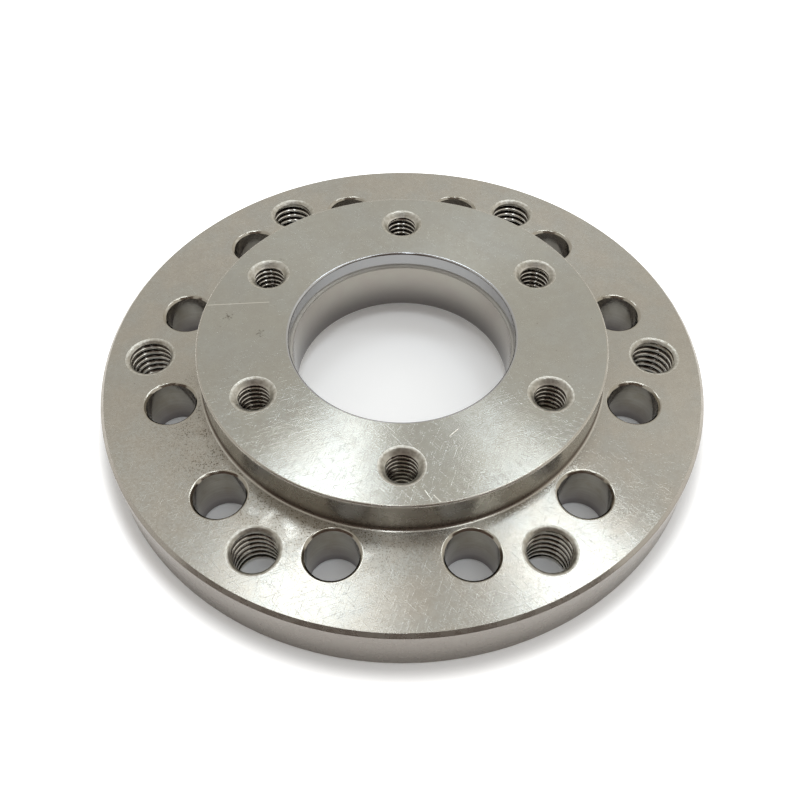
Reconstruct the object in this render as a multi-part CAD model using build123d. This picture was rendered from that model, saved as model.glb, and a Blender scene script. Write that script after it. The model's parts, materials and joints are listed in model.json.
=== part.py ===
from build123d import *
from math import radians, tan
import os

# Vacuum flange turned from one stainless-steel blank: a flat mounting ring with a raised
# boss and a bore through its middle. Six tapped and twelve plain holes go through the
# ring, six blind tapped holes sit in the boss, and the underside holds the knife-edge
# seat for a flat copper gasket. Millimetres, +Z up, origin at the centre of the underside.

# Turned form, from the bore outwards
bore_diameter = 36.2
locating_step = 0.4  # radial step up to the shallow locating bore in the boss's face
locating_depth = 2.8
boss_width = 15.0  # radial, from the locating bore to the boss's outside
ring_width = 16.5  # radial, from the boss's outside to the rim
ring_thickness = 9.0
boss_height = 6.3  # above the ring's top face

# Edges, all broken at 45 degrees, and the fillet at the boss's root
rim_chamfer = 0.6
boss_edge_break = 0.25
bore_edge_break = 0.25
underside_edge_break = 0.2
boss_root_radius = 0.5

# Knife-edge seat in the underside, measured from the bore's wall and from the underside
ledge_width = 2.85  # flat between the bore and the knife edge's straight inner side
ledge_depth = 3.2
knife_tip_depth = 0.66
knife_slope = 20.0  # degrees, falling outwards from the tip to the gasket's floor
gasket_floor_depth = 1.27
gasket_seat_width = 3.2  # radial, from the knife edge to the seat's outer wall

# Tapped holes through the ring, at the drilled size of an M8 thread, countersunk on both faces
ring_tap_count = 6
ring_tap_diameter = 6.8
ring_tap_mouth_diameter = 8.3
ring_tap_rim_distance = 7.5  # from the holes' centres to the rim

# Plain holes through the ring, a pair beside each tapped one
plain_hole_count = 12
plain_hole_diameter = 8.0
plain_hole_chamfer = 0.35
plain_hole_boss_distance = 5.3  # from the holes' centres to the boss's outside

# Blind tapped holes in the boss, at the drilled size of an M6 thread
boss_tap_count = 6
boss_tap_diameter = 5.0
boss_tap_mouth_diameter = 6.9
boss_tap_edge_distance = 7.0  # from the holes' centres to the boss's outside
boss_tap_floor = 1.8  # metal left between the drill's point and the underside
drill_point_angle = 118.0

bore_radius = bore_diameter / 2
locating_radius = bore_radius + locating_step
boss_radius = locating_radius + boss_width
rim_radius = boss_radius + ring_width
knife_radius = bore_radius + ledge_width
seat_radius = knife_radius + gasket_seat_width
total_thickness = ring_thickness + boss_height
ring_tap_radius = ring_tap_diameter / 2
ring_tap_mouth_radius = ring_tap_mouth_diameter / 2
plain_hole_radius = plain_hole_diameter / 2
boss_tap_radius = boss_tap_diameter / 2
boss_tap_mouth_radius = boss_tap_mouth_diameter / 2
drill_point_length = boss_tap_radius / tan(radians(drill_point_angle / 2))


def turned_blank():
    """The half section of the turned form, revolved: up the outside, then down the bore."""
    knife_rise = gasket_floor_depth - knife_tip_depth
    slope_foot = knife_radius + knife_rise / tan(radians(knife_slope))
    outside = [
        (seat_radius, 0),
        (rim_radius - underside_edge_break, 0),
        (rim_radius, underside_edge_break),
        (rim_radius, ring_thickness - rim_chamfer),
        (rim_radius - rim_chamfer, ring_thickness),
        (boss_radius, ring_thickness),
        (boss_radius, total_thickness - boss_edge_break),
        (boss_radius - boss_edge_break, total_thickness),
    ]
    bore = [
        (locating_radius + bore_edge_break, total_thickness),
        (locating_radius, total_thickness - bore_edge_break),
        (locating_radius, total_thickness - locating_depth),
        (bore_radius, total_thickness - locating_depth),
        (bore_radius, ledge_depth),
    ]
    knife_seat = [
        (knife_radius, ledge_depth),
        (knife_radius, knife_tip_depth),
        (slope_foot, gasket_floor_depth),
        (seat_radius, gasket_floor_depth),
    ]
    section = Plane.XZ * make_face(Polyline(*outside, *bore, *knife_seat, close=True))
    boss_root = section.vertices().sort_by_distance((boss_radius, 0, ring_thickness))[0]
    return revolve(fillet(boss_root, boss_root_radius), Axis.Z)


def drill(foot, radius, mouth_radius, top):
    """A hole's cutter: its foot's half section, a straight wall and a 45 degree countersink."""
    countersink_foot = top - (mouth_radius - radius)
    profile = Polyline(*foot, (radius, countersink_foot), (mouth_radius, top), (0, top), close=True)
    return revolve(Plane.XZ * make_face(profile), Axis.Z)


def circle_of(cutter, radius, count, first_angle):
    """Copies of a cutter, evenly spaced on a circle about the flange's axis."""
    return [place * cutter for place in PolarLocations(radius, count, start_angle=first_angle)]


ring_tap_foot = [
    (0, 0),
    (ring_tap_mouth_radius, 0),
    (ring_tap_radius, ring_tap_mouth_radius - ring_tap_radius),
]
plain_hole_foot = [
    (0, 0),
    (plain_hole_radius, 0),
]
boss_tap_foot = [
    (0, boss_tap_floor),
    (boss_tap_radius, boss_tap_floor + drill_point_length),
]
ring_tap = drill(ring_tap_foot, ring_tap_radius, ring_tap_mouth_radius, ring_thickness)
plain_hole = drill(
    plain_hole_foot, plain_hole_radius, plain_hole_radius + plain_hole_chamfer, ring_thickness
)
boss_tap = drill(boss_tap_foot, boss_tap_radius, boss_tap_mouth_radius, total_thickness)

flange_body = turned_blank()
flange_body -= circle_of(ring_tap, rim_radius - ring_tap_rim_distance, ring_tap_count, 0)
flange_body -= circle_of(
    plain_hole, boss_radius + plain_hole_boss_distance, plain_hole_count, 180 / plain_hole_count
)
flange_body -= circle_of(
    boss_tap, boss_radius - boss_tap_edge_distance, boss_tap_count, 180 / boss_tap_count
)

os.makedirs("parts", exist_ok=True)
export_step(flange_body, "parts/flange_body.step")
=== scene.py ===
"""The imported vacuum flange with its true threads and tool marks, in soft studio light."""
import json
import random
from math import cos, hypot, pi, radians, sin, tan, tau

import bpy
from mathutils import Matrix, Vector


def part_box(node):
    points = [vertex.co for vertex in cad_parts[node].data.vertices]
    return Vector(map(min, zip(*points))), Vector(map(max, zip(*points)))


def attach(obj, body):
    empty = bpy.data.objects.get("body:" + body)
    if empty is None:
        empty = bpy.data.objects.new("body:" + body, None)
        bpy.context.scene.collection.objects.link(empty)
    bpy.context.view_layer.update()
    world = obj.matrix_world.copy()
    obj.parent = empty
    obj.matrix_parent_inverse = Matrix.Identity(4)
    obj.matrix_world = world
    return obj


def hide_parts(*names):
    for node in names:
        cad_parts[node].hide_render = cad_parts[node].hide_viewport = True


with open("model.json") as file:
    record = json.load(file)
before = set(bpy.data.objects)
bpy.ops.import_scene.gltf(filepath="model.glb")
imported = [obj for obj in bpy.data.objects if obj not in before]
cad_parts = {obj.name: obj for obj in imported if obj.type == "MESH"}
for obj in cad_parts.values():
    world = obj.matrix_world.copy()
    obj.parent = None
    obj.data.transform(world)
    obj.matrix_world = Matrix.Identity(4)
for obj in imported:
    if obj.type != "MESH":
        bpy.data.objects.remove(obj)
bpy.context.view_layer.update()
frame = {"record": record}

# ---------------------------------------------------------------- sizes, in millimetres
MM = 0.001
mounts = {mount["name"]: mount["dims"] for mount in frame["record"]["mounts"]}
high_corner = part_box("flange_body")[1]

# The turned form. The frame gives the outside and the holes, and the rest is the part's own.
rim_radius = round(high_corner.x / MM, 3)
top = round(high_corner.z / MM, 3)
bore_radius = mounts["bore"]["r_mm"]
locating_radius = mounts["locating_bore"]["r_mm"]
boss_radius = 33.5
ring_top = 9.0
rim_chamfer = 0.6
edge_break = 0.25
underside_break = 0.2
boss_root_radius = 0.5
locating_depth = 2.8

# Knife-edge seat in the underside
ledge_width = 2.85
gasket_seat_width = 3.2
knife_radius = bore_radius + ledge_width
seat_radius = knife_radius + gasket_seat_width
ledge_height = 3.2
knife_tip_height = 0.66
knife_slope = radians(20)
gasket_floor = 1.27

# Each circle of holes: the radii of its walls and countersinks, the radius that rounds a
# countersink into its face, the circle and how many holes lie on it from which angle on, and
# its thread, whose ridges take the length of the fade to grow to full height above their foot.
# The blind holes also have the height of their drill point's tip.
ring_tap = {
    "radius": mounts["ring_taps"]["hole_r_mm"],
    "mouth": 3.87,
    "lip": 0.75,
    "foot_mouth": 4.15,
    "circle": mounts["ring_taps"]["pcd_mm"] / 2,
    "count": mounts["ring_taps"]["count"],
    "first": 0.0,
    "thread_radius": 4.0,
    "pitch": 1.25,
    "fade": 0.6,
}
plain_hole = {
    "radius": mounts["plain_holes"]["hole_r_mm"],
    "mouth": 4.35,
    "lip": 0.35,
    "circle": mounts["plain_holes"]["pcd_mm"] / 2,
    "count": mounts["plain_holes"]["count"],
    "first": radians(15),
}
boss_tap = {
    "radius": mounts["boss_taps"]["hole_r_mm"],
    "mouth": 3.32,
    "lip": 0.75,
    "circle": mounts["boss_taps"]["pcd_mm"] / 2,
    "count": mounts["boss_taps"]["count"],
    "first": radians(30),
    "thread_radius": 3.0,
    "pitch": 1.0,
    "fade": 2.0,
    "tip": 1.8,
}
drill_half_angle = radians(59)
drill_point_top = boss_tap["tip"] + boss_tap["radius"] / tan(drill_half_angle)
thread_foot = 1.0  # from the top of a boss tap's drill point up to its lowest thread
overrun = 1.0  # how far the drills reach past the faces
thread_overrun = 1.5  # the same for the taps

# Radii of the small forms at the edges
edge_radius = 0.1
worn_radius = 0.32  # on the broken edges of the boss and the bore
step_radius = 0.19  # on both corners of the step in the bore
bore_foot_radius = 0.2
seat_root_radius = 0.3

# Steps of the arcs and segments of the turned forms
small_arc_steps = 3
large_arc_steps = 6
large_arc = 0.3  # an arc of a larger radius has the larger number of steps
lip_steps = 5
flange_segments = 324
ring_hole_segments = 80
boss_hole_segments = 72
ring_thread_segments = 72
boss_thread_segments = 64
thread_seed = 8

# Thread form
thread_half_angle = radians(30)
crest_bevel = 0.035  # along the axis, on the thread's crests
crest_bevel_rise = 0.028  # the same, across it
core_gap = 0.02  # between a tap's core and the drilled wall, so that the two never touch


# ---------------------------------------------------------------- shapes
def arc_corner(before, corner, after, radius, steps):
    """Points of an arc of that radius that rounds the corner between its two neighbours."""
    to_before = (Vector(before) - Vector(corner)).normalized()
    to_after = (Vector(after) - Vector(corner)).normalized()
    half = to_before.angle(to_after) / 2
    centre = Vector(corner) + (to_before + to_after).normalized() * radius / sin(half)
    start = Vector(corner) + to_before * radius / tan(half) - centre
    end = Vector(corner) + to_after * radius / tan(half) - centre
    turn = start.angle_signed(end)
    return [centre + Matrix.Rotation(-turn * k / steps, 2) @ start for k in range(steps + 1)]


def rounded(corners):
    """A closed section's corners, (r, z) or (r, z, radius), with arcs at those that give one."""
    points = []
    for i, corner in enumerate(corners):
        if len(corner) == 3:
            before = corners[i - 1][:2]
            after = corners[(i + 1) % len(corners)][:2]
            steps = large_arc_steps if corner[2] > large_arc else small_arc_steps
            points += arc_corner(before, corner[:2], after, corner[2], steps)
        else:
            points.append(Vector(corner[:2]))
    return points


def mesh_object(name, vertices, faces):
    """A mesh object of vertices in millimetres."""
    mesh = bpy.data.meshes.new(name)
    mesh.from_pydata([Vector(v) * MM for v in vertices], [], faces)
    mesh.validate()
    thing = bpy.data.objects.new(name, mesh)
    bpy.context.scene.collection.objects.link(thing)
    return thing


def lathe(name, section, segments):
    """A closed ring of a closed half section that stays off the axis."""
    vertices = []
    faces = []
    count = len(section)
    for i in range(segments):
        angle = tau * i / segments
        vertices += [(p[0] * cos(angle), p[0] * sin(angle), p[1]) for p in section]
    for i in range(segments):
        here = i * count
        there = (i + 1) % segments * count
        for k in range(count):
            after = (k + 1) % count
            faces.append((here + k, there + k, there + after, here + after))
    return mesh_object(name, vertices, faces)


def plug(section, segments, place):
    """Vertices and faces of a solid turned from a half section that starts and ends on the axis."""
    inner = section[1:-1]
    count = len(inner)
    vertices = [(place[0], place[1], section[0][1])]
    for i in range(segments):
        angle = tau * i / segments
        vertices += [(place[0] + r * cos(angle), place[1] + r * sin(angle), z) for r, z in inner]
    vertices.append((place[0], place[1], section[-1][1]))
    last = len(vertices) - 1
    faces = []
    for i in range(segments):
        here = 1 + i * count
        there = 1 + (i + 1) % segments * count
        faces.append((0, there, here))
        for k in range(count - 1):
            faces.append((here + k, there + k, there + k + 1, here + k + 1))
        faces.append((here + count - 1, there + count - 1, last))
    return vertices, faces


def tap(hole, place, low, high, foot, throat, phase, segments):
    """Vertices and faces of a right-handed tap: a core just inside the drilled wall, with a 60
    degree ridge wound round it from low to high. The ridge rises from nothing above the foot
    and sinks to nothing at the throat, where the countersink starts."""
    pitch = hole["pitch"]
    core = hole["radius"] - core_gap
    depth = hole["thread_radius"] - core
    flat = pitch / 16  # half of the flat along the ridge's top
    mouth = flat + (depth - core_gap) * tan(thread_half_angle)
    shoulder = core_gap + crest_bevel_rise
    ridge = [
        (-mouth - crest_bevel, 0.0),
        (-mouth + crest_bevel / 2, shoulder),
        (-flat, depth),
        (flat, depth),
        (mouth - crest_bevel / 2, shoulder),
        (mouth + crest_bevel, 0.0),
    ]
    per_turn = len(ridge)
    rows = (int((high - low) / pitch) + 1) * per_turn

    def point(i, k):
        offset, rise = ridge[k % per_turn]
        z = low + pitch * (k // per_turn + i / segments) + offset
        below_throat = max(throat - z, 0.0)
        above_foot = max(z - foot, 0.0) * depth / hole["fade"]
        radius = core + min(rise, below_throat, above_foot)
        angle = tau * i / segments + phase
        return place[0] + radius * cos(angle), place[1] + radius * sin(angle), z

    vertices = [(place[0], place[1], low - pitch)]
    starts = []
    for i in range(segments):
        starts.append(len(vertices))
        seam_rows = per_turn if i == 0 else 0
        vertices += [point(i, k) for k in range(rows + 1 + seam_rows)]
    vertices.append((place[0], place[1], high + 2 * pitch))
    top_centre = len(vertices) - 1

    def at(i, k):
        """Index of a grid point. After a whole turn the first column follows, a pitch higher."""
        return starts[0] + k + per_turn if i == segments else starts[i] + k

    faces = []
    for i in range(segments):
        faces += [(at(i, k), at(i + 1, k), at(i + 1, k + 1), at(i, k + 1)) for k in range(rows)]
        faces.append((0, at(i + 1, 0), at(i, 0)))
        faces.append((at(i, rows), at(i + 1, rows), top_centre))
    for k in range(per_turn):
        faces.append((0, at(0, k), at(0, k + 1)))
        faces.append((top_centre, at(0, rows + k + 1), at(0, rows + k)))
    return vertices, faces


def places(hole):
    """The centre of each hole of a circle."""
    for i in range(hole["count"]):
        angle = hole["first"] + tau * i / hole["count"]
        yield hole["circle"] * cos(angle), hole["circle"] * sin(angle)


def joined(name, solids):
    """One object of several separate solids."""
    vertices = []
    faces = []
    for solid_vertices, solid_faces in solids:
        start = len(vertices)
        vertices += solid_vertices
        faces += [tuple(start + v for v in face) for face in solid_faces]
    return mesh_object(name, vertices, faces)


def cut(thing, cutter):
    """Takes the cutter away from the thing for good."""
    step = thing.modifiers.new("cut", "BOOLEAN")
    step.operation = "DIFFERENCE"
    step.solver = "MANIFOLD"
    step.object = cutter
    bpy.context.view_layer.update()
    evaluated = thing.evaluated_get(bpy.context.evaluated_depsgraph_get())
    result = bpy.data.meshes.new_from_object(evaluated)
    thing.modifiers.clear()
    thing.data = result
    bpy.data.objects.remove(cutter)


def turned_section():
    """The flange's half section: up the outside, down the bore, then through the seat."""
    slope_run = (gasket_floor - knife_tip_height) / tan(knife_slope)
    return rounded(
        [
            (seat_radius, 0),
            (rim_radius - underside_break, 0),
            (rim_radius, underside_break),
            (rim_radius, ring_top - rim_chamfer, edge_radius),
            (rim_radius - rim_chamfer, ring_top, edge_radius),
            (boss_radius, ring_top, boss_root_radius),
            (boss_radius, top - edge_break, worn_radius),
            (boss_radius - edge_break, top, worn_radius),
            (locating_radius + edge_break, top, worn_radius),
            (locating_radius, top - edge_break, worn_radius),
            (locating_radius, top - locating_depth, step_radius),
            (bore_radius, top - locating_depth, step_radius),
            (bore_radius, ledge_height, bore_foot_radius),
            (knife_radius, ledge_height, seat_root_radius),
            (knife_radius, knife_tip_height),
            (knife_radius + slope_run, gasket_floor),
            (seat_radius, gasket_floor),
        ]
    )


def drill(hole, mouth_top, foot):
    """The half section of a drill with a countersink, from its foot's points to above the top."""
    throat = (hole["radius"], mouth_top - (hole["mouth"] - hole["radius"]))
    beside = (2 * hole["mouth"], mouth_top)
    lip = arc_corner(throat, (hole["mouth"], mouth_top), beside, hole["lip"], lip_steps)
    above = mouth_top + overrun
    return foot + [throat] + [tuple(p) for p in lip] + [(lip[-1].x, above), (0, above)]


def make_drills():
    """The drills of all three circles of holes, as one object."""
    ring_tap_foot = [
        (0, -overrun),
        (ring_tap["foot_mouth"] + overrun, -overrun),
        (ring_tap["radius"], ring_tap["foot_mouth"] - ring_tap["radius"]),
    ]
    plain_foot = [
        (0, -overrun),
        (plain_hole["radius"] + underside_break + overrun, -overrun),
        (plain_hole["radius"], underside_break),
    ]
    boss_tap_foot = [(0, boss_tap["tip"]), (boss_tap["radius"], drill_point_top)]
    drills = []
    for hole, mouth_top, foot, segments in (
        (ring_tap, ring_top, ring_tap_foot, ring_hole_segments),
        (plain_hole, ring_top, plain_foot, ring_hole_segments),
        (boss_tap, top, boss_tap_foot, boss_hole_segments),
    ):
        drills += [plug(drill(hole, mouth_top, foot), segments, place) for place in places(hole)]
    return joined("drills", drills)


def make_taps():
    """The taps of both circles of threads, as one object. Each starts at a random angle."""
    dice = random.Random(thread_seed)
    ring_foot = ring_tap["foot_mouth"] - ring_tap["radius"]
    boss_foot = drill_point_top + thread_foot
    taps = []
    for hole, low, mouth_top, foot, segments in (
        (ring_tap, -thread_overrun, ring_top, ring_foot, ring_thread_segments),
        (boss_tap, boss_foot, top, boss_foot, boss_thread_segments),
    ):
        throat = mouth_top - (hole["mouth"] - hole["radius"])
        high = mouth_top + thread_overrun
        for place in places(hole):
            taps.append(tap(hole, place, low, high, foot, throat, dice.uniform(0, tau), segments))
    return joined("taps", taps)


def make_flange():
    flange = lathe("flange", turned_section(), flange_segments)
    cut(flange, make_drills())
    cut(flange, make_taps())
    return flange


# ---------------------------------------------------------------- materials
class Finish:
    """A metal material under construction, with short ways to add nodes. Lengths are in mm."""

    def __init__(self, name, colour, anisotropy):
        self.material = bpy.data.materials.new(name)
        self.material.use_nodes = True
        self.nodes = self.material.node_tree.nodes
        self.links = self.material.node_tree.links
        self.surface = self.nodes["Principled BSDF"]
        self.surface.inputs["Metallic"].default_value = 1.0
        self.surface.inputs["Anisotropic"].default_value = anisotropy
        self.colour = colour
        if anisotropy:
            quarter_turn = 0.25  # highlights stretch across the turned marks
            self.surface.inputs["Anisotropic Rotation"].default_value = quarter_turn
            tangent = self.nodes.new("ShaderNodeTangent")
            tangent.direction_type = "RADIAL"
            tangent.axis = "Z"
            self.links.new(tangent.outputs["Tangent"], self.surface.inputs["Tangent"])

        here = self.nodes.new("ShaderNodeTexCoord")
        place = self.nodes.new("ShaderNodeVectorMath")
        place.operation = "SCALE"
        place.inputs["Scale"].default_value = 1 / MM
        self.links.new(here.outputs["Object"], place.inputs[0])
        self.place = place.outputs[0]
        parts = self.nodes.new("ShaderNodeSeparateXYZ")
        self.links.new(self.place, parts.inputs[0])
        self.x, self.y, self.z = parts.outputs
        squares = self.math("ADD", self.math("POWER", self.x, 2), self.math("POWER", self.y, 2))
        self.radius = self.math("SQRT", squares)
        self.cos = self.math("DIVIDE", self.x, self.radius)
        self.sin = self.math("DIVIDE", self.y, self.radius)
        self.across = self.math("ADD", self.radius, self.z)  # runs across every turned mark

    def feed(self, value, socket):
        """Links a node's output to the socket, or sets the socket to a plain value."""
        if isinstance(value, bpy.types.NodeSocket):
            self.links.new(value, socket)
        else:
            socket.default_value = value

    def math(self, operation, *values):
        """The output of one math node."""
        node = self.nodes.new("ShaderNodeMath")
        node.operation = operation
        for value, socket in zip(values, node.inputs):
            self.feed(value, socket)
        return node.outputs[0]

    def vector(self, x, y, z):
        """A vector of three values."""
        node = self.nodes.new("ShaderNodeCombineXYZ")
        for value, socket in zip((x, y, z), node.inputs):
            self.feed(value, socket)
        return node.outputs[0]

    def noise(self, place, scale, detail=2.0, roughness=0.5):
        """Noise from 0 to 1 whose forms are about 1 / scale mm across."""
        node = self.nodes.new("ShaderNodeTexNoise")
        self.feed(place, node.inputs["Vector"])
        node.inputs["Scale"].default_value = scale
        node.inputs["Detail"].default_value = detail
        node.inputs["Roughness"].default_value = roughness
        return node.outputs["Fac"]

    def fade(self, value, low, high, to_low=0.0, to_high=1.0):
        """A smooth change from to_low, where the value is low, to to_high, where it is high."""
        node = self.nodes.new("ShaderNodeMapRange")
        node.interpolation_type = "SMOOTHSTEP"
        self.feed(value, node.inputs["Value"])
        names = ("From Min", "From Max", "To Min", "To Max")
        for name, number in zip(names, (low, high, to_low, to_high)):
            node.inputs[name].default_value = number
        return node.outputs["Result"]

    def all_of(self, *values):
        """The product of the values."""
        result = values[0]
        for value in values[1:]:
            result = self.math("MULTIPLY", result, value)
        return result

    def sum_of(self, *values):
        """The sum of the values."""
        result = values[0]
        for value in values[1:]:
            result = self.math("ADD", result, value)
        return result

    def tint(self, amount, colour):
        """Lays that much of the colour over the one so far."""
        node = self.nodes.new("ShaderNodeMix")
        node.data_type = "RGBA"
        self.feed(amount, node.inputs["Factor"])
        before = self.colour
        if not isinstance(before, bpy.types.NodeSocket):
            before = (*before, 1)
        self.feed(before, node.inputs["A"])
        node.inputs["B"].default_value = (*colour, 1)
        self.colour = node.outputs["Result"]

    def turned_marks(self, pitch, arc):
        """Fine tool marks that run round the axis: pitch apart, and even over that arc."""
        place = self.vector(
            self.math("DIVIDE", self.across, pitch),
            self.math("DIVIDE", self.cos, arc),
            self.math("DIVIDE", self.sin, arc),
        )
        return self.noise(place, scale=1.0, detail=1.0)

    def level_marks(self, shift, per_mm):
        """Marks that run level round a hole, so many to a millimetre."""
        place = self.vector(shift, shift, self.math("MULTIPLY", self.z, per_mm))
        return self.noise(place, scale=1.0, detail=2.0)

    def streaks(self, angle, length, width, shift, amount):
        """Fine straight scratches in one direction, 0 between them and up to 1 along them."""
        run = self.sum_of(
            self.math("MULTIPLY", self.x, cos(angle)), self.math("MULTIPLY", self.y, sin(angle))
        )
        side = self.sum_of(
            self.math("MULTIPLY", self.x, -sin(angle)), self.math("MULTIPLY", self.y, cos(angle))
        )
        place = self.vector(
            self.math("DIVIDE", run, length), self.math("DIVIDE", side, width), shift
        )
        starts = 1.0 - amount
        full = 1.02 - 0.6 * amount
        return self.fade(self.noise(place, scale=1.0, detail=0.0), starts, full)

    def scratch(self, start, end, width):
        """One straight scratch, 1 on its line."""
        along = Vector(end) - Vector(start)
        length = along.length
        along.normalize()
        dx = self.math("SUBTRACT", self.x, start[0])
        dy = self.math("SUBTRACT", self.y, start[1])
        run = self.sum_of(
            self.math("MULTIPLY", dx, along.x), self.math("MULTIPLY", dy, along.y)
        )
        side = self.sum_of(
            self.math("MULTIPLY", dx, -along.y), self.math("MULTIPLY", dy, along.x)
        )
        on_line = self.math("MINIMUM", self.math("MAXIMUM", run, 0.0), length)
        past = self.math("SUBTRACT", run, on_line)
        squares = self.sum_of(self.math("POWER", past, 2), self.math("POWER", side, 2))
        gap = self.math("SQRT", squares)
        return self.fade(gap, 0.0, width, 1.0, 0.0)

    def specks(self, spacing, size, share):
        """Round specks on a loose grid: their spacing, their radius, and the share that shows."""
        cells = self.nodes.new("ShaderNodeTexVoronoi")
        self.feed(self.place, cells.inputs["Vector"])
        cells.inputs["Scale"].default_value = 1 / spacing
        edge = size / spacing
        dot = self.fade(cells.outputs["Distance"], 0.6 * edge, edge, 1.0, 0.0)
        chance = self.nodes.new("ShaderNodeSeparateColor")
        self.links.new(cells.outputs["Color"], chance.inputs[0])
        shown = self.math("LESS_THAN", chance.outputs[0], share)
        return self.math("MULTIPLY", dot, shown)

    def finish(self, roughness, height):
        """Links the colour, the roughness and the height, which is in mm, to the surface."""
        colour = self.colour
        if not isinstance(colour, bpy.types.NodeSocket):
            colour = (*colour, 1)
        self.feed(colour, self.surface.inputs["Base Color"])
        self.feed(roughness, self.surface.inputs["Roughness"])
        bump = self.nodes.new("ShaderNodeBump")
        bump.inputs["Distance"].default_value = MM
        self.feed(height, bump.inputs["Height"])
        self.links.new(bump.outputs["Normal"], self.surface.inputs["Normal"])
        return self.material


STEEL = (0.43, 0.405, 0.355)
CLEAN_CREST_AND_PAINTED_HIGHLIGHT = (0.75, 0.72, 0.65)
GREY_STEEL = (0.385, 0.392, 0.352)
PALE_STEEL = (0.4, 0.405, 0.378)
WARM_STEEL = (0.33, 0.295, 0.24)
DULL_STEEL = (0.34, 0.32, 0.285)
FRESH_SCRATCH = (0.8, 0.78, 0.71)
DENT_SHADE = (0.12, 0.105, 0.085)
DIRT = (0.3, 0.24, 0.17)
BROWN_SPECK = (0.06, 0.04, 0.025)
STRAY_SPECK = (0.14, 0.11, 0.085)
STAINED_STEEL = (0.34, 0.31, 0.265)
BANDED_STEEL = (0.3, 0.275, 0.235)
BOSS_FOOT_PAINTED_SHADE = (0.12, 0.085, 0.065)
RIM_PAINTED_SHADE = (0.23, 0.207, 0.187)
CHAMFER_PAINTED_SHADE = (0.29, 0.265, 0.235)
STRAW_STEEL = (0.41, 0.365, 0.33)
BLUISH_STEEL = (0.41, 0.415, 0.425)
STEP_PAINTED_HIGHLIGHT = (0.55, 0.53, 0.48)
BORE_WALL_PAINTED_SHADE = (0.1, 0.092, 0.092)
OILY_STEEL = (0.29, 0.255, 0.19)
DRILL_MARK = (0.24, 0.215, 0.175)
HOLE_PAINTED_SHADE = (0.28, 0.255, 0.26)
HOLE_FOOT_PAINTED_SHADE = (0.18, 0.165, 0.17)
COUNTERSINK = (0.5, 0.48, 0.43)
COUNTERSINK_PATCH = (0.27, 0.25, 0.2)
THREAD_STAIN = (0.3, 0.26, 0.19)
GROOVE_PAINTED_SHADE = (0.026, 0.019, 0.014)

# Fine scratches over the faces: direction in radians, length, width, offset and share
brush_strokes = (
    (0.35, 3.0, 0.16, 0.3, 0.38),
    (1.25, 2.2, 0.14, 7.1, 0.36),
    (2.3, 3.4, 0.15, 3.7, 0.36),
    (2.9, 1.8, 0.13, 5.2, 0.35),
)
# Single scratches and dents on the boss's face: start, end and width
boss_scratches = (
    ((-32.5, 5.9), (-22.3, 6.6), 0.12),
    ((7.1, -21.2), (8.4, -19.9), 0.12),
    ((4.5, -31.5), (5.5, -32.7), 0.12),
    ((3.2, -30.7), (4.2, -32.3), 0.1),
)
boss_dents = (
    ((-29.5, 2.8), (-28.1, 3.7), 0.2),
    ((-29.1, 3.9), (-28.5, 2.4), 0.2),
    ((-28.9, 3.3), (-28.0, 2.9), 0.18),
    ((-23.7, -0.7), (-22.6, 0.1), 0.2),
    ((-23.3, 0.3), (-22.9, -1.2), 0.2),
    ((-23.1, -1.1), (-22.6, -0.9), 0.18),
    ((-21.4, 17.2), (-20.6, 16.8), 0.14),
)
towards_front_left = (-0.62, -0.78)
boss_level = 12.0  # a height between the ring's top and the boss's
soft = 0.1  # how gently one face's look gives way to another's
dirt_lowest = ring_top - 0.5  # only the tops are dirty
dirt_inner = 35.0  # the dirt is densest inside this radius, and ends at the outer one
dirt_outer = 46.0
# How far up the boss's wall, above the ring, the painted shade at its foot reaches
foot_shade_height = 2.4  # on the boss's wall, above the ring
# Heights of the painted shade low down the bore's wall and in the plain holes
wall_shade_height = 8.3  # how far up from the ledge the bore's wall is darker
hole_shade_height = 6.0  # the same in the plain holes, from the underside
hole_foot_height = 2.2  # where they are darkest
countersink_depth = 0.5


def dirt_round_boss(steel, front_left, on_boss):
    """How dirty the ring's top is: most at the boss's foot, on its front left."""
    return steel.all_of(
        steel.fade(steel.radius, dirt_inner, dirt_outer, 1.0, 0.0),
        steel.fade(front_left, 0.58, 0.95),
        steel.fade(steel.z, dirt_lowest, dirt_lowest + soft),
        steel.math("SUBTRACT", 1.0, on_boss),
        steel.fade(steel.noise(steel.place, scale=0.5, detail=3.0), 0.28, 0.58),
    )


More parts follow.
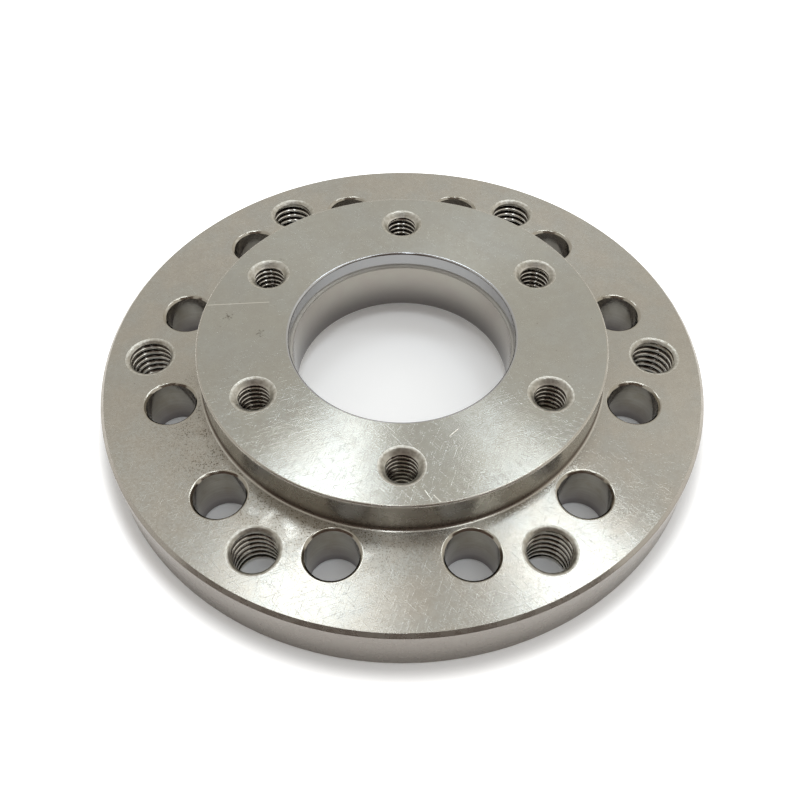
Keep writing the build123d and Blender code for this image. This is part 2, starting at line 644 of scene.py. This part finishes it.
def faced_steel():
    """The faced tops and underside: concentric marks, smears, fine scratches and specks."""
    steel = Finish("faced_steel", STEEL, 0.9)
    marks = steel.turned_marks(pitch=0.22, arc=0.35)
    rings = steel.turned_marks(pitch=0.9, arc=1.2)
    smear = steel.noise(steel.place, scale=0.5, detail=4.0, roughness=0.65)
    patch = steel.noise(steel.place, scale=0.12, detail=3.0, roughness=0.6)
    grain = steel.noise(steel.place, scale=2.6, detail=3.0, roughness=0.7)
    brushed = steel.sum_of(*[steel.streaks(*stroke) for stroke in brush_strokes])
    on_boss = steel.fade(steel.z, boss_level, boss_level + soft)
    scratches = steel.all_of(on_boss, steel.sum_of(*[steel.scratch(*line) for line in boss_scratches]))
    dents = steel.all_of(
        on_boss,
        steel.sum_of(*[steel.scratch(*line) for line in boss_dents]),
        steel.fade(steel.noise(steel.place, scale=4.0, detail=1.0), 0.42, 0.52),
    )
    front_left = steel.sum_of(
        steel.math("MULTIPLY", steel.cos, towards_front_left[0]),
        steel.math("MULTIPLY", steel.sin, towards_front_left[1]),
    )
    dirty = dirt_round_boss(steel, front_left, on_boss)
    clumps = steel.fade(steel.noise(steel.place, scale=4.2, detail=2.0, roughness=0.7), 0.55, 0.63)
    dense = steel.specks(spacing=0.42, size=0.12, share=0.6)
    specks = steel.math("MULTIPLY", steel.math("MAXIMUM", clumps, dense), dirty)
    stray = steel.specks(spacing=1.3, size=0.12, share=0.12)

    steel.tint(steel.math("MULTIPLY", on_boss, 0.6), GREY_STEEL)
    steel.tint(steel.fade(patch, 0.38, 0.62, 0.0, 0.55), PALE_STEEL)
    mottled = steel.all_of(
        steel.fade(grain, 0.42, 0.56, 1.0, 0.0),
        steel.fade(front_left, 0.6, 0.95, 0.22, 0.45),
        steel.math("SUBTRACT", 1.0, steel.math("MULTIPLY", on_boss, 0.5)),
    )
    steel.tint(mottled, WARM_STEEL)
    steel.tint(steel.fade(smear, 0.4, 0.6, 0.22, 0.0), DULL_STEEL)
    steel.tint(steel.math("MULTIPLY", dirty, 0.18), DIRT)
    steel.tint(specks, BROWN_SPECK)
    steel.tint(steel.math("MULTIPLY", stray, 0.6), STRAY_SPECK)
    steel.tint(steel.math("MULTIPLY", scratches, 0.7), FRESH_SCRATCH)
    steel.tint(steel.math("MULTIPLY", dents, 0.7), DENT_SHADE)
    grain_height = steel.fade(steel.z, boss_level, boss_level + soft, 0.0006, 0.001)
    brushed_height = steel.fade(steel.z, boss_level, boss_level + soft, 0.0018, 0.0026)
    height = steel.sum_of(
        steel.math("MULTIPLY", marks, 0.0018),
        steel.math("MULTIPLY", rings, 0.002),
        steel.math("MULTIPLY", smear, 0.0022),
        steel.math("MULTIPLY", grain, grain_height),
        steel.math("MULTIPLY", brushed, brushed_height),
        steel.math("MULTIPLY", scratches, -0.004),
    )
    roughness = steel.sum_of(
        0.22,
        steel.math("MULTIPLY", on_boss, -0.015),
        steel.fade(grain, 0.35, 0.65, 0.0, 0.04),
        steel.math("MULTIPLY", brushed, 0.03),
        steel.math("MULTIPLY", dirty, 0.1),
    )
    return steel.finish(roughness, height)


def turned_steel():
    """The rim, the boss's wall and the broken edges: tool marks that run round the axis, painted shade
    where the boss's wall meets the ring, and a rim and chamfer painted darker as shade in what they
    reflect."""
    steel = Finish("turned_steel", STEEL, 0.85)
    marks = steel.turned_marks(pitch=0.16, arc=0.8)
    bands = steel.turned_marks(pitch=0.7, arc=3.0)
    smear = steel.noise(steel.place, scale=0.5, detail=3.0)
    # Painted shade at the foot of the boss's wall, darkest where it meets the ring
    foot = steel.math(
        "MULTIPLY",
        steel.fade(steel.z, ring_top + soft, ring_top + foot_shade_height, 0.75, 0.0),
        steel.fade(steel.radius, boss_radius + soft, boss_radius + 3 * soft, 1.0, 0.0),
    )
    # Painted shade: the rim and its chamfer are darkened to stand for the dark reflections they show
    on_rim = steel.fade(steel.radius, rim_radius - 2 * soft, rim_radius, 0.0, 0.85)
    chamfer_foot = ring_top - rim_chamfer
    chamfer_head = rim_radius - rim_chamfer
    on_chamfer = steel.math(
        "MULTIPLY",
        steel.fade(steel.z, chamfer_foot - soft / 2, chamfer_foot + soft / 2),
        steel.fade(steel.radius, chamfer_head - soft / 2, chamfer_head + soft / 2),
    )
    steel.tint(steel.fade(smear, 0.3, 0.7, 0.0, 0.35), STAINED_STEEL)
    steel.tint(steel.fade(bands, 0.35, 0.65, 0.15, 0.0), BANDED_STEEL)
    steel.tint(foot, BOSS_FOOT_PAINTED_SHADE)
    steel.tint(on_rim, RIM_PAINTED_SHADE)
    steel.tint(steel.math("MULTIPLY", on_chamfer, 0.5), CHAMFER_PAINTED_SHADE)
    height = steel.sum_of(
        steel.math("MULTIPLY", marks, 0.0008),
        steel.math("MULTIPLY", bands, 0.002),
        steel.math("MULTIPLY", smear, 0.001),
    )
    return steel.finish(steel.fade(smear, 0.3, 0.7, 0.24, 0.3), height)


def bored_steel():
    """The bore and the gasket seat: smooth and faintly straw-coloured, bluish above the bore's step,
    with a painted highlight on the step and painted shade down the bore's wall."""
    steel = Finish("bored_steel", STEEL, 0.3)
    marks = steel.turned_marks(pitch=0.14, arc=1.5)
    smear = steel.noise(steel.place, scale=0.22, detail=3.0)
    step = top - locating_depth
    from_step = steel.math("ABSOLUTE", steel.math("SUBTRACT", steel.z, step))
    on_step = steel.fade(from_step, 2 * soft, 6 * soft, 1.0, 0.0)
    # Painted shade, darkest low down the bore's wall by the ledge
    painted_wall_shade = steel.math(
        "MULTIPLY",
        steel.fade(steel.z, ledge_height, ledge_height + wall_shade_height, 0.88, 0.0),
        steel.fade(steel.radius, bore_radius + 3 * soft, bore_radius + 6 * soft, 1.0, 0.0),
    )
    steel.tint(steel.fade(smear, 0.35, 0.65, 0.0, 0.5), STRAW_STEEL)
    steel.tint(steel.fade(steel.z, step - 5 * soft, step + 3 * soft, 0.0, 0.8), BLUISH_STEEL)
    # Painted highlight along the step
    steel.tint(steel.math("MULTIPLY", on_step, 0.5), STEP_PAINTED_HIGHLIGHT)
    steel.tint(painted_wall_shade, BORE_WALL_PAINTED_SHADE)
    height = steel.sum_of(
        steel.math("MULTIPLY", marks, 0.0008), steel.math("MULTIPLY", smear, 0.002)
    )
    roughness = steel.math(
        "ADD", steel.fade(smear, 0.3, 0.7, 0.12, 0.18), steel.math("MULTIPLY", on_step, 0.55)
    )
    return steel.finish(roughness, height)


def drilled_steel():
    """The plain holes' walls: level drill marks, oily stains, and painted shade that deepens towards
    the foot.
    """
    steel = Finish("drilled_steel", STEEL, 0.0)
    marks = steel.level_marks(shift=0.35, per_mm=5.0)
    stain = steel.noise(steel.place, scale=0.35, detail=3.0)
    steel.tint(steel.fade(stain, 0.4, 0.7, 0.0, 0.5), OILY_STEEL)
    steel.tint(steel.fade(marks, 0.45, 0.65, 0.25, 0.0), DRILL_MARK)
    # Painted shade low in the hole, deepest at its foot
    steel.tint(steel.fade(steel.z, 5 * soft, hole_shade_height, 0.65, 0.0), HOLE_PAINTED_SHADE)
    steel.tint(steel.fade(steel.z, 4 * soft, hole_foot_height, 0.6, 0.0), HOLE_FOOT_PAINTED_SHADE)
    height = steel.math("MULTIPLY", marks, 0.003)
    return steel.finish(steel.fade(stain, 0.3, 0.7, 0.11, 0.18), height)


def threaded_steel():
    """The threads, clean steel painted lighter on their crests and with painted shade in the grooves
    that deepens down the hole, and the countersinks, which are matt and patchy with faint tool marks."""
    # The crests are clean steel painted lighter than the faces, as a painted highlight
    steel = Finish("threaded_steel", CLEAN_CREST_AND_PAINTED_HIGHLIGHT, 0.0)
    depth = steel.nodes.new("ShaderNodeAttribute")
    depth.attribute_name = "groove_depth"
    stain = steel.noise(steel.place, scale=1.2, detail=3.0)
    to_mouth = steel.math(
        "MINIMUM",
        steel.math("ABSOLUTE", steel.math("SUBTRACT", steel.z, ring_top)),
        steel.math("ABSOLUTE", steel.math("SUBTRACT", steel.z, top)),
    )
    countersink = steel.fade(to_mouth, countersink_depth, countersink_depth + 4 * soft, 1.0, 0.0)
    patchy = steel.fade(steel.noise(steel.place, scale=1.9, detail=3.0), 0.42, 0.6)
    marks = steel.level_marks(shift=0.4, per_mm=7.0)
    steel.tint(countersink, COUNTERSINK)
    steel.tint(steel.fade(stain, 0.45, 0.7, 0.0, 0.3), THREAD_STAIN)
    steel.tint(steel.all_of(patchy, countersink, 0.5), COUNTERSINK_PATCH)
    # Painted shade in the grooves, deeper further down the hole
    steel.tint(steel.fade(depth.outputs["Fac"], 0.08, 0.32, 0.0, 0.98), GROOVE_PAINTED_SHADE)
    height = steel.sum_of(
        steel.math("MULTIPLY", steel.noise(steel.place, scale=2.0, detail=2.0), 0.008),
        steel.all_of(marks, countersink, 0.012),
    )
    roughness = steel.fade(depth.outputs["Fac"], 0.0, 0.15, 0.38, 0.15)
    return steel.finish(roughness, height)


# ---------------------------------------------------------------- making it
FACED, TURNED, BORED, DRILLED, THREADED = range(5)
near = 0.05  # two lengths that differ by less are taken as the same
mostly_level = 0.999  # the upright part of a level face's normal
# The painted shade in the grooves deepens down a hole at this rate
deeper_per_mm = 0.012  # how fast the grooves darken down a hole
sharp_angle = radians(32)  # edges that bend more stay crisp


def nearest_hole(x, y):
    """The distance to the nearest hole's axis, and the circle of holes it belongs to."""
    found = []
    for hole in (ring_tap, plain_hole, boss_tap):
        found += [(hypot(x - px, y - py), hole) for px, py in places(hole)]
    return min(found, key=lambda pair: pair[0])


def beneath_boss_tap(hole, z):
    """Whether the height is that of the gasket seat, which passes below the blind boss taps."""
    return hole is boss_tap and z < boss_tap["tip"] - near


def finish_of(face):
    """Which finish a face of the flange has, from where it lies and how it faces."""
    x, y, z = (c / MM for c in face.center)
    from_axis = hypot(x, y)
    distance, hole = nearest_hole(x, y)
    level = abs(face.normal.z) > mostly_level
    in_hole = distance < hole["mouth"] + hole["lip"] / 2 and not beneath_boss_tap(hole, z)
    if in_hole and not level:
        return DRILLED if hole is plain_hole else THREADED
    if level and (z < near or abs(z - ring_top) < near or z > top - near):
        return FACED
    return BORED if from_axis < seat_radius + near else TURNED


def mark_groove_depth(mesh):
    """Writes how deep each point lies in a thread, 0 on the countersinks and the crests, 1 at the
    roots, and a little more the further down the hole it is."""
    depths = mesh.attributes.new("groove_depth", "FLOAT", "POINT")
    for point, entry in zip(mesh.vertices, depths.data):
        x, y, z = point.co / MM
        distance, hole = nearest_hole(x, y)
        if hole is plain_hole or beneath_boss_tap(hole, z):
            continue
        if distance > hole["thread_radius"] + near:
            continue
        mouth_top = top if hole is boss_tap else ring_top
        from_face = min(z, mouth_top - z) if hole is ring_tap else mouth_top - z
        if from_face > hole["mouth"] - hole["radius"]:
            groove = (distance - hole["radius"]) / (hole["thread_radius"] - hole["radius"])
            entry.value = groove + deeper_per_mm * (mouth_top - z)


def dress_flange():
    """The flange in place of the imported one, with a finish on every face."""
    flange = make_flange()
    mesh = flange.data
    mesh.materials.clear()
    for make in (faced_steel, turned_steel, bored_steel, drilled_steel, threaded_steel):
        mesh.materials.append(make())
    for face in mesh.polygons:
        face.material_index = finish_of(face)
        face.use_smooth = True
    mark_groove_depth(mesh)
    mesh.set_sharp_from_angle(angle=sharp_angle)
    weighted = flange.modifiers.new("even shading", "WEIGHTED_NORMAL")
    weighted.keep_sharp = True
    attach(flange, "root")
    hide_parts("flange_body")


dress_flange()

# ---------------------------------------------------------------- camera
camera_distance = 157.56 * MM
camera_height_angle = radians(51.07)
yaw = radians(-0.127)
pitch = radians(-0.661)
roll = radians(-0.075)
lens = 40.11
nearest_seen = 1 * MM


def place_camera():
    """The camera, before the flange and above it, aimed at the origin but for the small turns."""
    place = camera_distance * Vector((0, -cos(camera_height_angle), sin(camera_height_angle)))
    ahead = -place.normalized()
    right = Vector((1, 0, 0))
    above = right.cross(ahead)
    ahead = ahead * cos(yaw) * cos(pitch) + right * sin(yaw) * cos(pitch) + above * sin(pitch)
    ahead.normalize()
    right = ahead.cross(above).normalized()
    above = right.cross(ahead)
    right, above = right * cos(roll) + above * sin(roll), above * cos(roll) - right * sin(roll)
    camera = bpy.data.objects.new("camera", bpy.data.cameras.new("camera"))
    camera.data.lens = lens
    camera.data.clip_start = nearest_seen
    turn = Matrix((right, above, -ahead)).transposed().to_4x4()
    camera.matrix_world = Matrix.Translation(place) @ turn
    bpy.context.scene.collection.objects.link(camera)
    bpy.context.scene.camera = camera


place_camera()

# ---------------------------------------------------------------- studio
floor_reach = 3000
floor_drop = 0.02  # how far the floor lies below the flange
floor_colour = (0.9, 0.9, 0.9)
matt = 0.9  # the roughness of the floor and the cards
glow_in_bore = 0.15  # the floor's own light, under the bore, under the ring and all round
glow_beneath = 0.04
glow_around = 0.8
glow_starts = 0.5  # beyond the rim
glow_ends = 4.5
backdrop_colour = (0.85, 0.828, 0.782)
backdrop_light = 1.15
backdrop_left = 0.8  # how bright the backdrop is on either side
backdrop_right = 1.2
lamp_colour = (0.9, 1.0, 1.1)
lamp_distance = 400
flag_colour = (0.15, 0.11, 0.095)
flag_steps = 24
hood_colour = (0.24, 0.19, 0.165)


def ramp(tree, value, between, ends, shape):
    """A node that runs from one end to the other while the value runs between two numbers."""
    node = tree.nodes.new("ShaderNodeMapRange")
    node.interpolation_type = shape
    tree.links.new(value, node.inputs["Value"])
    node.inputs["From Min"].default_value = between[0]
    node.inputs["From Max"].default_value = between[1]
    node.inputs["To Min"].default_value = ends[0]
    node.inputs["To Max"].default_value = ends[1]
    return node


def seen_directly(tree, hidden, seen):
    """The value seen for camera, glossy and transmission rays, and hidden for the others."""
    path = tree.nodes.new("ShaderNodeLightPath")
    any_seen = path.outputs["Is Camera Ray"]
    for ray in ("Is Glossy Ray", "Is Transmission Ray"):
        either = tree.nodes.new("ShaderNodeMath")
        either.operation = "MAXIMUM"
        tree.links.new(any_seen, either.inputs[0])
        tree.links.new(path.outputs[ray], either.inputs[1])
        any_seen = either.outputs[0]
    return ramp(tree, any_seen, (0, 1), (hidden, seen), "LINEAR").outputs["Result"]


def product(tree, first, second):
    """The product of two nodes' outputs."""
    node = tree.nodes.new("ShaderNodeMath")
    node.operation = "MULTIPLY"
    tree.links.new(first, node.inputs[0])
    tree.links.new(second, node.inputs[1])
    return node.outputs[0]


def matt_material(name, colour):
    """A matt material without gloss, and its shader."""
    material = bpy.data.materials.new(name)
    material.use_nodes = True
    bsdf = material.node_tree.nodes["Principled BSDF"]
    bsdf.inputs["Base Color"].default_value = (*colour, 1)
    bsdf.inputs["Roughness"].default_value = matt
    bsdf.inputs["Specular IOR Level"].default_value = 0.0
    return material, bsdf


def floor_material():
    """Matt white. Seen straight on or in a reflection it is lighter away from the flange, up to
    plain white, so that only a faint shadow is left round the rim."""
    material, bsdf = matt_material("floor", floor_colour)
    bsdf.inputs["Emission Color"].default_value = (1, 1, 1, 1)
    tree = material.node_tree
    here = tree.nodes.new("ShaderNodeTexCoord")
    length = tree.nodes.new("ShaderNodeVectorMath")
    length.operation = "LENGTH"
    tree.links.new(here.outputs["Object"], length.inputs[0])
    from_axis = length.outputs["Value"]
    under_flange = (seat_radius * MM, boss_radius * MM)
    past_rim = ((rim_radius + glow_starts) * MM, (rim_radius + glow_ends) * MM)
    beneath = ramp(tree, from_axis, under_flange, (glow_in_bore, glow_beneath), "SMOOTHSTEP")
    glow = ramp(tree, from_axis, past_rim, (glow_beneath, glow_around), "SMOOTHSTEP")
    tree.links.new(beneath.outputs["Result"], glow.inputs["To Min"])
    only_seen = product(tree, seen_directly(tree, 0.0, 1.0), glow.outputs["Result"])
    tree.links.new(only_seen, bsdf.inputs["Emission Strength"])
    return material


def make_floor():
    """The wide floor that the flange rests on."""
    reach = floor_reach
    corners = [(-reach, -reach), (reach, -reach), (reach, reach), (-reach, reach)]
    floor = mesh_object("floor", [(x, y, -floor_drop) for x, y in corners], [(0, 1, 2, 3)])
    floor.data.materials.append(floor_material())


def plain_card(thing, colour):
    """Makes a studio card matt, keeps it out of the camera's sight and lets the lamps past it."""
    thing.data.materials.append(matt_material(thing.name, colour)[0])
    thing.visible_camera = False
    thing.visible_shadow = False


def hood(centre, width, height, colour):
    """A dark card above the camera that faces the flange."""
    w, h = width / 2, height / 2
    thing = mesh_object("hood", [(-w, -h, 0), (w, -h, 0), (w, h, 0), (-w, h, 0)], [(0, 1, 2, 3)])
    centre = Vector(centre)
    turn = centre.to_track_quat("Z", "Y").to_matrix().to_4x4()
    thing.matrix_world = Matrix.Translation(centre * MM) @ turn
    plain_card(thing, colour)


def flag(distance, first, last, low, high, colour):
    """A dark curved screen before the flange, between two angles in degrees and two heights."""
    angles = [radians(first + (last - first) * i / flag_steps) for i in range(flag_steps + 1)]
    vertices = [(distance * cos(t), distance * sin(t), z) for t in angles for z in (low, high)]
    faces = [(2 * i, 2 * i + 1, 2 * i + 3, 2 * i + 2) for i in range(flag_steps)]
    plain_card(mesh_object("flag", vertices, faces), colour)


def lamp(name, towards, width, length, radiance):
    """A soft lamp of that radiance, which faces the flange. Its length runs upwards."""
    data = bpy.data.lights.new(name, "AREA")
    data.shape = "RECTANGLE"
    data.size = width * MM
    data.size_y = length * MM
    data.energy = radiance * pi * width * length * MM * MM
    data.color = lamp_colour
    thing = bpy.data.objects.new(name, data)
    bpy.context.scene.collection.objects.link(thing)
    spot = Vector(towards).normalized() * lamp_distance
    turn = spot.to_track_quat("Z", "Y").to_matrix().to_4x4()
    thing.matrix_world = Matrix.Translation(spot * MM) @ turn
    thing.visible_camera = False


def make_backdrop():
    """The pale surroundings, brighter to the right. As light they are stronger than when seen."""
    world = bpy.data.worlds.new("studio")
    bpy.context.scene.world = world
    world.use_nodes = True
    tree = world.node_tree
    background = tree.nodes["Background"]
    background.inputs["Color"].default_value = (*backdrop_colour, 1)
    facing = tree.nodes.new("ShaderNodeTexCoord")
    to_side = tree.nodes.new("ShaderNodeSeparateXYZ")
    tree.links.new(facing.outputs["Generated"], to_side.inputs[0])
    sides = (backdrop_left, backdrop_right)
    across = ramp(tree, to_side.outputs["X"], (-1, 1), sides, "LINEAR")
    light = seen_directly(tree, backdrop_light, 1.0)
    tree.links.new(product(tree, light, across.outputs["Result"]), background.inputs["Strength"])


make_floor()
flag(distance=420, first=205, last=332, low=25, high=330, colour=flag_colour)
hood(centre=(0, -250, 330), width=330, height=200, colour=hood_colour)
lamp("left_box", (-0.137, 0.381, 0.914), width=72, length=80, radiance=7.1)
lamp("right_box", (0.27, 0.3, 0.906), width=76, length=76, radiance=7.2)
lamp("left_strip", (-0.05, -0.27, 0.96), width=28, length=150, radiance=7)
lamp("right_strip", (0.29, -0.2, 0.935), width=28, length=150, radiance=7)
lamp("left_side", (-0.594, 0.286, 0.748), width=130, length=130, radiance=0.45)
lamp("right_side", (0.664, 0.389, 0.636), width=160, length=160, radiance=0.36)
make_backdrop()
bpy.context.scene.view_settings.view_transform = "Standard"
